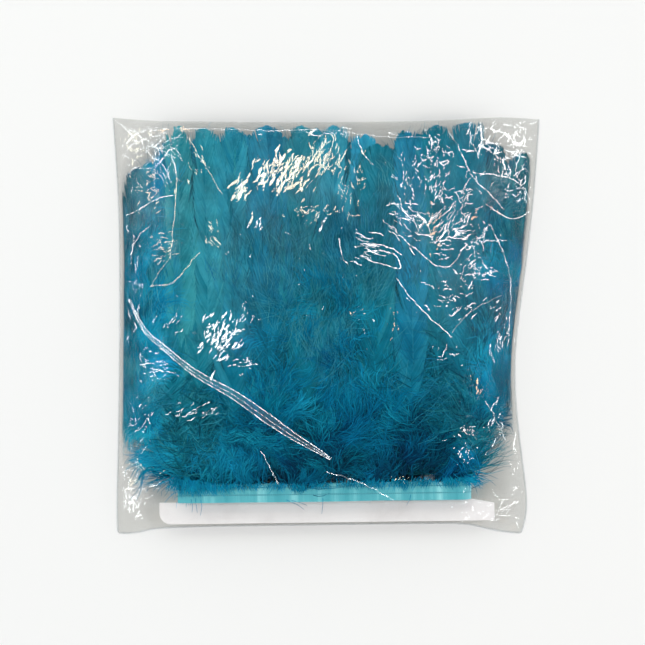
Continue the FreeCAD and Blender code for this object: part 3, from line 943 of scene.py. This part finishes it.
# Down and wisps are made in layers, each within its shares of the room above the vanes.
DOWN_SHARES = [(0.0, 0.4), (0.2, 0.6), (0.3, 0.8), (0.5, 0.9), (0.7, 1.0)]
WISP_SHARES = [(0.4, 0.8), (0.7, 1.0)]
for number, shares in enumerate(DOWN_SHARES):
    finish_strips("marabou_down_%d" % (number + 1), make_down(175, 80, *shares))
for number, shares in enumerate(WISP_SHARES):
    finish_strips("marabou_wisps_%d" % (number + 1), make_down(200, 60, *shares, wisps=True))

edge_points, edge_quads, edge_colours = make_edge_tufts().join()
edge_down = make_mesh("down_over_ribbon", to_bag(edge_points), edge_quads, edge_colours)
finish_piece(edge_down, "contents", "feather", FEATHER)


# ---- the wound ribbon

WINDING_START = 86.8
RIBBON_CUT_END = -105.0
WINDING_STEP = 1.6
OUTER_PLY_LIFT = 1.075
INNER_PLY_LIFT = 0.125


def winding_points(lift):
    """The winding seen from its edge: points (x, z) and outward directions, from start to cut end."""
    points, outward = [], []

    def run(x0, x1, z, up):
        for x in np.arange(x0, x1, math.copysign(WINDING_STEP, x1 - x0)):
            points.append((x, z))
            outward.append((0.0, up))

    def bend(centre_x, low, high, start, end):
        radius = (high - low) / 2
        count = max(8, int(math.pi * radius / WINDING_STEP))
        for angle in np.linspace(start, end, count, endpoint=False):
            out = (math.cos(angle), math.sin(angle))
            points.append((centre_x + radius * out[0], (high + low) / 2 + radius * out[1]))
            outward.append(out)

    start, quarter = WINDING_START, math.pi / 2
    for layer in range(1, BACK_LAYERS + 1):
        front, back = front_level(layer, lift), back_level(layer, lift)
        run(start, -TONGUE_HALF, front, 1.0)
        bend(-TONGUE_HALF, back, front, quarter, 3 * quarter)
        run(-TONGUE_HALF, TONGUE_HALF, back, -1.0)
        bend(TONGUE_HALF, back, front_level(layer + 1, lift), -quarter, quarter)
        start = TONGUE_HALF
    run(start, RIBBON_CUT_END, front_level(FRONT_LAYERS, lift), 1.0)
    return np.array(points), np.array(outward)


def make_ply(name, lift, wrinkle, seed, node):
    """One ply of the ribbon, wound round the card, with soft creases across it."""
    line, outward = winding_points(lift)
    along = np.concatenate([[0], np.cumsum(np.hypot(*np.diff(line, axis=0).T))])
    along, across = np.meshgrid(along, np.linspace(0, RIBBON_WIDTH, 12), indexing="ij")
    crease = noise(along / 5.0, across / 16.0, seed) * 0.6
    crease = crease + noise(along / 17.0, across / 30.0, seed + 5) * 0.9
    push = wrinkle * crease
    sway = 0.35 * noise(along / 60.0, 0.5 + 0 * across, seed + 9)
    points = np.stack([
        line[:, 0, None] + outward[:, 0, None] * push,
        RIBBON_BOTTOM + across + sway,
        line[:, 1, None] + outward[:, 1, None] * push], -1)
    ply = make_mesh(name, to_bag(points), grid_quads(*along.shape),
                    attributes={"along": along, "across": across})
    finish_piece(ply, "contents", "satin_ribbon", SATIN, node)
    return ply


inner_ply = make_ply("satin_ply_inner", INNER_PLY_LIFT, 0.0, 40, "ribbon_inner_ply")
outer_ply = make_ply("satin_ply_outer", OUTER_PLY_LIFT, 0.11, 50, "ribbon_outer_ply")


# ---- the clear film

# Crumpled places on the film: x, y, radius and how crumpled.
CRUMPLES = [
    (-36.0, 106.0, 22.0, 0.3), (-6.0, 120.0, 16.0, 0.2), (-70.0, -12.0, 20.0, 0.3),
    (72.0, 66.0, 28.0, 0.35), (90.0, 40.0, 20.0, 0.3), (108.0, -42.0, 14.0, 0.3),
    (-122.0, -30.0, 16.0, 0.3), (-127.0, 128.0, 26.0, 0.25), (130.0, 128.0, 28.0, 0.25),
    (-120.0, 70.0, 22.0, 0.4), (100.0, -82.0, 14.0, 0.3),
]

# Milky places, as x, y, radius and how milky.
HAZE_SPOTS = [
    (-127.0, 128.0, 26.0, 0.06), (133.0, 10.0, 14.0, 0.06), (122.0, 126.0, 30.0, 0.06),
    (-20.0, 108.0, 34.0, 0.05), (80.0, 80.0, 44.0, 0.055), (-122.0, 85.0, 26.0, 0.05),
    (-72.0, -8.0, 20.0, 0.02), (96.0, 20.0, 30.0, 0.03), (-60.0, 60.0, 40.0, 0.02),
]


def spots(x, y, table, power):
    """Sum of round spots, each x, y, radius and strength; a higher power makes their edges steeper."""
    return sum(amount * np.exp(-(((x - cx) ** 2 + (y - cy) ** 2) / radius ** 2) ** power)
               for cx, cy, radius, amount in table)


def crumple_mask(x, y):
    mask = 0.05 + 0.05 * noise(x / 40.0, y / 40.0, 91) + spots(x, y, CRUMPLES, 1.3)
    over_card = smooth(-108.0, -118.0, y) * smooth(126.0, 116.0, np.abs(x - 1.0))
    return np.clip(mask, 0.03, 1.3) * (1 - 0.85 * over_card)


def haze_at(x, y):
    cloud = 0.6 + 0.5 * noise(x / 22.0, y / 22.0, 98)
    edge = 0.05 * smooth(6.0, 0.0, edge_distance(x, y))
    return np.clip(spots(x, y, HAZE_SPOTS, 1) * cloud + edge, 0, 0.5)


def film_height(x, y):
    """The loose front film: the frame's dome with soft waves and crumples."""
    mask = crumple_mask(x, y)
    warp_x = x / 11.0 + 1.2 * noise(x / 21.0, y / 21.0, 96)
    warp_y = y / 11.0 + 1.2 * noise(x / 21.0, y / 21.0, 97)
    folds = (1.0 - np.clip(np.abs(noise(warp_x, warp_y, 94)) * 1.6, 0.0, 1.0)) ** 3
    crumple = 0.55 * mask * folds + 0.25 * mask * noise(x / 5.0, y / 5.0, 95)
    wave = 0.9 + 0.5 * noise(x / 55.0, y / 48.0, 93)
    return ceiling(x, y) + smooth(0.0, 16.0, edge_distance(x, y)) * (wave + crumple)


def film_grid(count):
    """Points over the bag's outline, in plan."""
    u, v = np.meshgrid(np.linspace(0, 1, count), np.linspace(0, 1, count), indexing="xy")
    x, y = 300 * u - 150, 294 * v - 147
    for _ in range(4):
        x = left_edge(y) + (right_edge(y) - left_edge(y)) * u
        y = bottom_edge(x) + (mouth_edge(x) - bottom_edge(x)) * v
    return x, y


def make_film(name, x, y, z, milkiness, material, *nodes):
    film = make_mesh(
        name, np.stack([x, y, z], -1), grid_quads(*x.shape),
        attributes={"crumple": crumple_mask(x, y), "haze": haze_at(x, y) * milkiness})
    finish_piece(film, "bag", "clear_film", material, *nodes)
    return film


film_x, film_y = film_grid(310)
front_film = make_film(
    "crumpled_front_film", film_x, film_y, film_height(film_x, film_y), 1.0, FRONT_FILM, "bag_front_film")
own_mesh(front_film)

back_x, back_y = film_grid(170)
back_z = 0.22 + 0.20 * noise(back_x / 9.0, back_y / 9.0, 101) * smooth(0, 8, edge_distance(back_x, back_y))
make_film("creased_back_film", back_x, back_y, np.maximum(back_z, 0.02), 0.5, BACK_FILM, "bag_back_film")


# ---- creases and crinkles, which catch the lamps

CAMERA_HEIGHT = 1200.0
CAMERA_SPOT = np.array([-2.5, 2.5, CAMERA_HEIGHT])
LAMP_DISTANCE = 1800.0
FILM_LEVEL = 20.0

# Lamps as (name, x, y of the place on a flat sheet that would mirror it, size in metres, power, colour).
# They hang so low to the sides that only crinkles and the film's steep edges mirror them.
LAMPS = [
    ("cream_lamp", -250.0, 660.0, 0.30, 3.7, (1.0, 0.92, 0.66)),
    ("window_lamp", -690.0, 170.0, 0.30, 5.2, (0.94, 0.98, 1.0)),
    ("right_lamp", 690.0, 150.0, 0.30, 5.2, (0.97, 0.99, 1.0)),
    ("amber_lamp", 620.0, -760.0, 0.28, 3.2, (1.0, 0.58, 0.24)),
]


def lamp_place(x, y):
    """Where a lamp hangs so that a flat sheet mirrors it at a place to somebody looking down."""
    here = Vector((x, y, FILM_LEVEL))
    view = (Vector((0.0, 0.0, CAMERA_HEIGHT)) - here).normalized()
    return here + Vector((-view.x, -view.y, view.z)) * LAMP_DISTANCE


LAMP_SPOTS = [np.array(lamp_place(x, y)) for _, x, y, *_ in LAMPS]

# Creases in the front film: width in millimetres, the points that each passes through, and the lamp.
CREASES = [
    (0.7, [(-109, 50), (-105, 98), (-106, 114)], 0), (0.6, [(-109, 50), (-124, 28)], 0),
    (0.6, [(-124, 28), (-108, 30), (-97, 42), (-88, 51)], 0),
    (0.5, [(-124, 70), (-133, 63), (-139, 50)], 1), (0.7, [(0, -102), (25, -110), (47, -122)], 1),
    (0.5, [(-45, -87), (-33, -111)], 1),
    (0.6, [(-125, 138), (-100, 140), (-70, 139), (-40, 138), (-5, 139), (35, 134), (75, 133)], 2),
    (0.7, [(44, 70), (81, 41), (99, 58)], 2), (0.7, [(49, 33), (66, 12), (88, -8)], 2),
    (0.8, [(103, 108), (124, 106), (138, 100), (146, 88)], 2),
    (0.7, [(112, 86), (131, 76), (145, 81)], 2), (0.6, [(115, 72), (126, 50), (131, 26), (129, -14)], 2),
    (0.6, [(113, -53), (120, -66), (127, -81)], 2), (1.0, [(20, 55), (36, 57), (53, 50)], 2),
    (0.9, [(9, 61), (11, 50), (15, 42)], 1),
    (1.0, [(24, 48), (40, 43), (52, 41), (46, 51), (30, 52), (24, 48)], 2),
    (0.7, [(-97, 133), (-86, 114), (-73, 92)], 0), (0.6, [(-142, 78), (-122, 88), (-108, 92)], 1),
    (0.7, [(88, -4), (102, 10), (124, 22)], 2), (0.6, [(22, 134), (26, 122), (33, 113)], 2),
    (0.6, [(86, 138), (96, 120), (104, 104), (126, 82)], 2),
    (0.5, [(-150, 146), (-128, 132), (-106, 118)], 1),
]
PLEAT = [
    (-140, 19), (-128, -3), (-113, -16), (-91, -33), (-64, -48), (-41, -64), (-22, -77), (-4, -88), (3, -93),
]
PLEAT_WIDTH = [1.0, 2.4, 3.2, 4.2, 5.6, 6.6, 4.8, 2.6, 1.0]
PLEAT_LAMP = 1

# Crinkles that catch a lamp, in groups: x, y, spread in x and in y, heading in degrees and its spread,
# how many, shortest and longest, narrowest and widest, and the lamp.
CRINKLES = [
    (-32, 107, 16, 12, 62, 14, 96, 4, 12, 0.9, 3.0, 0),
    (-10, 112, 16, 12, 60, 18, 56, 3, 9, 0.6, 1.8, 0), (-61, 94, 8, 10, 62, 10, 20, 5, 12, 1.2, 3.2, 0),
    (-2, 120, 11, 8, 66, 20, 40, 4, 11, 0.5, 1.5, 0), (-12, 79, 15, 5, 25, 30, 34, 2, 7, 0.4, 1.2, 0),
    (-47, 71, 7, 5, 60, 15, 6, 4, 7, 1.4, 2.4, 1), (-3, 69, 3, 4, 70, 15, 3, 4, 7, 1.4, 2.2, 1),
    (24, 106, 4, 16, 75, 25, 18, 2, 6, 0.5, 1.3, 0), (12, 95, 5, 14, 90, 14, 16, 3, 10, 0.3, 0.8, 0),
    (-74, -8, 13, 14, 55, 16, 84, 3, 9, 0.7, 2.4, 1), (-58, -26, 10, 5, 8, 14, 18, 2, 6, 0.5, 1.2, 1),
    (-107, 0, 8, 8, 62, 14, 12, 3, 8, 0.4, 1.0, 1), (-122, -29, 11, 12, 6, 12, 46, 2, 6, 0.4, 0.9, 1),
    (-92, -60, 18, 6, 26, 14, 22, 3, 9, 0.3, 0.8, 1), (-57, 5, 9, 8, 50, 20, 12, 3, 7, 0.5, 1.2, 1),
    (60, 72, 15, 12, -36, 20, 52, 3, 13, 0.4, 1.1, 2), (88, 70, 14, 12, 42, 24, 52, 3, 12, 0.4, 1.1, 2),
    (75, 58, 20, 8, 0, 20, 26, 3, 10, 0.4, 1.1, 2), (74, 68, 5, 16, 75, 30, 22, 2, 7, 0.8, 1.5, 3),
    (78, 122, 11, 11, 50, 60, 46, 2, 8, 0.4, 1.2, 2), (79, 97, 8, 14, 70, 35, 24, 3, 9, 0.4, 1.1, 2),
    (104, 39, 12, 9, 10, 50, 40, 2, 7, 0.4, 1.2, 2), (85, 22, 14, 8, -8, 14, 28, 2, 8, 0.4, 1.1, 2),
    (105, 12, 18, 7, 36, 12, 16, 3, 9, 0.4, 1.0, 2), (84, -18, 8, 7, 40, 40, 14, 2, 6, 0.4, 1.0, 2),
    (122, -12, 8, 16, 85, 18, 26, 2, 8, 0.4, 1.1, 2), (102, -74, 7, 4, 20, 40, 18, 1, 4, 0.5, 1.1, 2),
    (97, -91, 9, 6, 35, 25, 24, 1, 5, 0.4, 1.0, 2), (30, 52, 12, 6, -16, 16, 12, 5, 12, 0.7, 1.4, 2),
    (30, 63, 8, 2, -10, 6, 4, 6, 14, 0.6, 1.2, 2), (57, 95, 5, 12, 106, 10, 10, 4, 12, 0.4, 0.9, 2),
    (110, 132, 12, 12, 60, 50, 30, 4, 14, 0.5, 1.6, 2),
    (131, 131, 18, 15, 40, 60, 64, 3, 12, 0.4, 1.4, 2),
    (132, 112, 10, 12, 60, 50, 26, 3, 9, 0.4, 1.0, 2), (134, 92, 8, 8, 10, 40, 18, 3, 9, 0.4, 0.9, 2),
    (-127, 130, 22, 20, 40, 26, 22, 12, 38, 0.3, 0.5, 1),
    (-123, 124, 22, 18, -46, 22, 22, 10, 36, 0.3, 0.5, 1),
    (-136, 130, 9, 14, 60, 50, 34, 2, 7, 0.5, 1.3, 0), (-123, 98, 11, 16, 60, 50, 46, 2, 7, 0.4, 1.0, 0),
    (-115, 57, 8, 10, 20, 18, 34, 2, 7, 0.4, 0.9, 0), (-78, 62, 5, 9, 122, 14, 16, 3, 8, 0.4, 1.0, 0),
    (-92, 108, 6, 14, 110, 14, 10, 3, 10, 0.5, 1.1, 0),
    (-138, -120, 12, 20, 60, 50, 44, 3, 12, 0.3, 0.8, 1),
    (-132, -70, 7, 24, 70, 30, 26, 2, 7, 0.3, 0.8, 1),
    (118, -128, 22, 9, 20, 40, 36, 3, 11, 0.3, 0.8, 2),
    (137, -100, 6, 24, 80, 20, 22, 3, 10, 0.3, 0.8, 2),
    (120, -68, 5, 12, 70, 16, 12, 4, 10, 0.4, 0.9, 2),
    (-141, -128, 10, 16, 72, 24, 20, 6, 22, 0.3, 0.6, 1),
    (-134, -108, 10, 14, -50, 40, 14, 4, 14, 0.3, 0.6, 0),
    (60, 108, 16, 16, 100, 30, 34, 2, 8, 0.4, 1.0, 2), (96, 96, 14, 16, 60, 60, 36, 3, 10, 0.35, 0.8, 2),
    (110, 60, 16, 16, 40, 60, 30, 3, 12, 0.35, 0.8, 2), (107, -44, 5, 9, 78, 12, 9, 3, 8, 0.8, 1.4, 3),
    (47, 1, 3, 12, 88, 16, 13, 1, 4, 0.6, 1.2, 3), (21, 8, 6, 5, 40, 40, 10, 1, 4, 0.5, 1.1, 3),
    (104, 77, 3, 3, 30, 40, 2, 4, 6, 1.6, 2.4, 3), (120, 82, 3, 4, 60, 40, 3, 2, 5, 0.8, 1.4, 3),
    (-105, 138, 20, 2, 0, 6, 14, 2, 8, 0.5, 1.1, 3), (52, -108, 9, 3, 30, 50, 9, 1, 3, 0.4, 0.8, 0),
    (20, 136, 60, 2, 0, 6, 24, 3, 9, 0.4, 0.9, 2), (0, 40, 70, 50, 40, 60, 34, 1, 5, 0.3, 0.8, 1),
    (-137, 20, 5, 50, 85, 12, 30, 3, 10, 0.3, 0.8, 1),
]
TOOTH = 1.6               # a crinkle's facet climbs this far from the film before it drops back
TILT_SPREAD = 0.018
CRINKLE_WIDTH = 0.62
CREASE_STEP = 0.7
EDGE_CLEARANCE = 1.2


def smooth_line(corners, count):
    """A smooth line through the corners, evenly stepped, and where each step lies among the corners."""
    corners = np.array(corners, float)
    n = len(corners)
    padded = np.concatenate([[2 * corners[0] - corners[1]], corners, [2 * corners[-1] - corners[-2]]])
    at = np.linspace(0, n - 1 - 1e-6, count)
    i = at.astype(int)
    t = (at - i)[:, None]
    p0, p1, p2, p3 = padded[i], padded[i + 1], padded[i + 2], padded[i + 3]
    return 0.5 * (2 * p1 + (p2 - p0) * t + (2 * p0 - 5 * p1 + 4 * p2 - p3) * t ** 2
                  + (3 * p1 - p0 - 3 * p2 + p3) * t ** 3), at


def mirror_slope(line, lamp):
    """Slope in x and in y of facets that mirror a lamp towards the camera."""
    here = np.column_stack([line, np.full(len(line), FILM_LEVEL)])
    halfway = 0
    for spot in (LAMP_SPOTS[lamp], CAMERA_SPOT):
        toward = spot - here
        halfway = halfway + toward / np.linalg.norm(toward, axis=1)[:, None]
    return -halfway[:, :2] / halfway[:, 2:]


def line_sides(line):
    """Unit directions along a line and to its right."""
    ahead = np.gradient(line, axis=0)
    ahead = ahead / np.linalg.norm(ahead, axis=1)[:, None]
    return ahead, np.stack([ahead[:, 1], -ahead[:, 0]], -1)


def crinkle(line, half_widths, lamp, wobble, local):
    """A narrow facet of the film along a line, tilted to the lamp and stepped so as to stay on the film."""
    ahead, side = line_sides(line)
    steps = np.hypot(*np.diff(line, axis=0).T)
    distance = np.concatenate([[0], np.cumsum(steps)])
    sway = noise(distance / 4.0 + local.uniform(0, 90), np.full(len(line), 0.5), 151)
    slope = mirror_slope(line, lamp) + local.normal(0, TILT_SPREAD, 2) + wobble * sway[:, None]
    climb = (slope * ahead).sum(1)
    plane = np.concatenate([[0], np.cumsum(steps * (climb[:-1] + climb[1:]) / 2)])
    film = film_height(line[:, 0], line[:, 1])
    z = film + 0.1 + np.mod(plane - film + local.uniform(0, TOOTH), TOOTH)
    tilt = (slope * side).sum(1) * half_widths
    reach = side * half_widths[:, None]
    return np.stack([np.column_stack([line - reach, z - tilt]), np.column_stack([line + reach, z + tilt])], 1)


def scattered_crinkles():
    """The crinkles of every group, as blocks of points."""
    local = np.random.default_rng(SEED + 7)
    blocks = []
    for cx, cy, spread_x, spread_y, degrees, turn_spread, count, short, long, thin, wide, lamp in CRINKLES:
        for _ in range(count):
            x, y = cx + local.normal(0, spread_x * 0.6), cy + local.normal(0, spread_y * 0.6)
            heading = math.radians(local.normal(degrees, turn_spread))
            length = short + (long - short) * local.random() ** 1.6
            t = np.linspace(-0.5, 0.5, max(6, int(length / CREASE_STEP)))
            bent = heading + local.normal(0, 0.5) * t
            bent = bent + 0.3 * np.sin(local.uniform(4, 10) * t + local.uniform(0, 6))
            step = length / (len(t) - 1)
            line = np.stack([x + np.cumsum(np.cos(bent)) * step, y + np.cumsum(np.sin(bent)) * step], -1)
            line = line - (line[-1] - line[0]) / 2
            width = CRINKLE_WIDTH * local.uniform(thin, wide)
            half = width / 2 * np.cos(t * 3.0) ** 0.6 * local.uniform(0.6, 1.4, len(t))
            if edge_distance(line[:, 0], line[:, 1]).min() > EDGE_CLEARANCE:
                blocks.append(crinkle(line, half, lamp, 0.025, local))
    return blocks


pleat_line, pleat_at = smooth_line(PLEAT, 320)
pleat_half = np.interp(pleat_at, np.arange(len(PLEAT)), PLEAT_WIDTH) / 2
_, pleat_side = line_sides(pleat_line)


def long_creases():
    """The long creases, and the edges and middle of the pleat, as blocks of points."""
    local = np.random.default_rng(SEED + 8)
    blocks = []
    for number, (width, corners, lamp) in enumerate(CREASES):
        length = np.hypot(*np.diff(np.array(corners, float), axis=0).T).sum()
        line, _ = smooth_line(corners, int(length / CREASE_STEP))
        _, side = line_sides(line)
        wander = noise(np.arange(len(line)) / 7.0, np.full(len(line), 0.5), 200 + number)
        line = line + side * (0.8 * wander)[:, None]
        half = CRINKLE_WIDTH * width / 2 * local.uniform(0.6, 1.4, len(line))
        blocks.append(crinkle(line, half, lamp, 0.05, local))
    for hand, half_width in ((-1, 0.26), (0.1, 0.12), (1, 0.26)):
        edge = pleat_line + pleat_side * (hand * pleat_half)[:, None]
        half = half_width * local.uniform(0.5, 1.5, len(edge))
        blocks.append(crinkle(edge, half, PLEAT_LAMP, 0.04, local))
    return blocks


def make_crinkles():
    """All crinkles and creases as one piece; the long creases are milkier."""
    points, quads, haze, total = [], [], [], 0
    for milky, blocks in ((0.02, scattered_crinkles()), (0.17, long_creases())):
        for block in blocks:
            rows, columns = block.shape[:2]
            points.append(block.reshape(-1, 3))
            quads.append(grid_quads(rows, columns) + total)
            haze.append(np.full(rows * columns, milky))
            total += rows * columns
    return make_mesh("film_crinkles", np.concatenate(points), np.concatenate(quads), smooth_faces=False,
                     attributes={"crumple": np.zeros(total), "haze": np.concatenate(haze)})


def make_pleat():
    """The long pleat: a soft tuck that lies on the film."""
    columns = np.linspace(-1, 1, 7)
    grid = pleat_line[:, None, :] + pleat_side[:, None, :] * (pleat_half[:, None] * columns)[..., None]
    z = film_height(grid[..., 0], grid[..., 1]) + 0.35 + 0.5 * (1 - columns ** 2)
    return make_mesh("film_pleat", np.concatenate([grid, z[..., None]], -1), grid_quads(*z.shape),
                     attributes={"crumple": np.full(z.size, 0.35), "haze": np.full(z.size, 0.045)})


for piece, material in ((make_crinkles(), GLINT_FILM), (make_pleat(), FRONT_FILM)):
    finish_piece(piece, "bag", "clear_film", material)
    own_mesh(piece)


# ---- the set

VIEW_WIDTH = 0.4596       # metres across the picture at the floor
SENSOR_WIDTH = 36.0
SKY_STRENGTH = 2.60
SKY = [(0.0, (0.35, 0.35, 0.36)), (0.18, (0.98, 0.99, 1.0)), (0.48, (0.92, 0.94, 0.96)),
       (0.66, (0.03, 0.033, 0.036))]


def make_sky():
    """Soft studio light from all sides, bright near the horizon and dark overhead."""
    world = Shader(bpy.data.worlds.new("studio"))
    height = world.add("SeparateXYZ", {0: world.place("Generated")}).outputs["Z"]
    background = world.nodes["Background"].inputs
    world.set(background["Color"], world.ramp(height, SKY))
    world.set(background["Strength"], SKY_STRENGTH)
    return world.owner


def make_floor():
    bpy.ops.mesh.primitive_plane_add(size=6.0, location=(0, 0, 0))
    floor = bpy.context.object
    floor.name = "studio_floor"
    floor.data.materials.append(new_shader("pale_floor").principled({
        "Base Color": (0.90, 0.90, 0.89, 1), "Roughness": 0.9, "Specular IOR Level": 0.1}))


def make_lamp(name, x, y, size, power, colour):
    """A square lamp that points at the bag."""
    data = bpy.data.lights.new(name, "AREA")
    data.shape, data.size, data.energy, data.color = "SQUARE", size, power, colour
    lamp = bpy.data.objects.new(name, data)
    bpy.context.scene.collection.objects.link(lamp)
    lamp.location = lamp_place(x, y) * MM
    lamp.rotation_euler = (-lamp.location).to_track_quat("-Z", "Y").to_euler()


def make_camera():
    data = bpy.data.cameras.new("camera")
    data.sensor_width = SENSOR_WIDTH
    data.lens = SENSOR_WIDTH * CAMERA_HEIGHT * MM / VIEW_WIDTH
    camera = bpy.data.objects.new("camera", data)
    camera.location = CAMERA_SPOT * MM
    bpy.context.scene.collection.objects.link(camera)
    return camera


bpy.context.scene.world = make_sky()
bpy.context.scene.view_settings.view_transform = "Standard"
make_floor()
for lamp in LAMPS:
    make_lamp(*lamp)
bpy.context.scene.camera = make_camera()
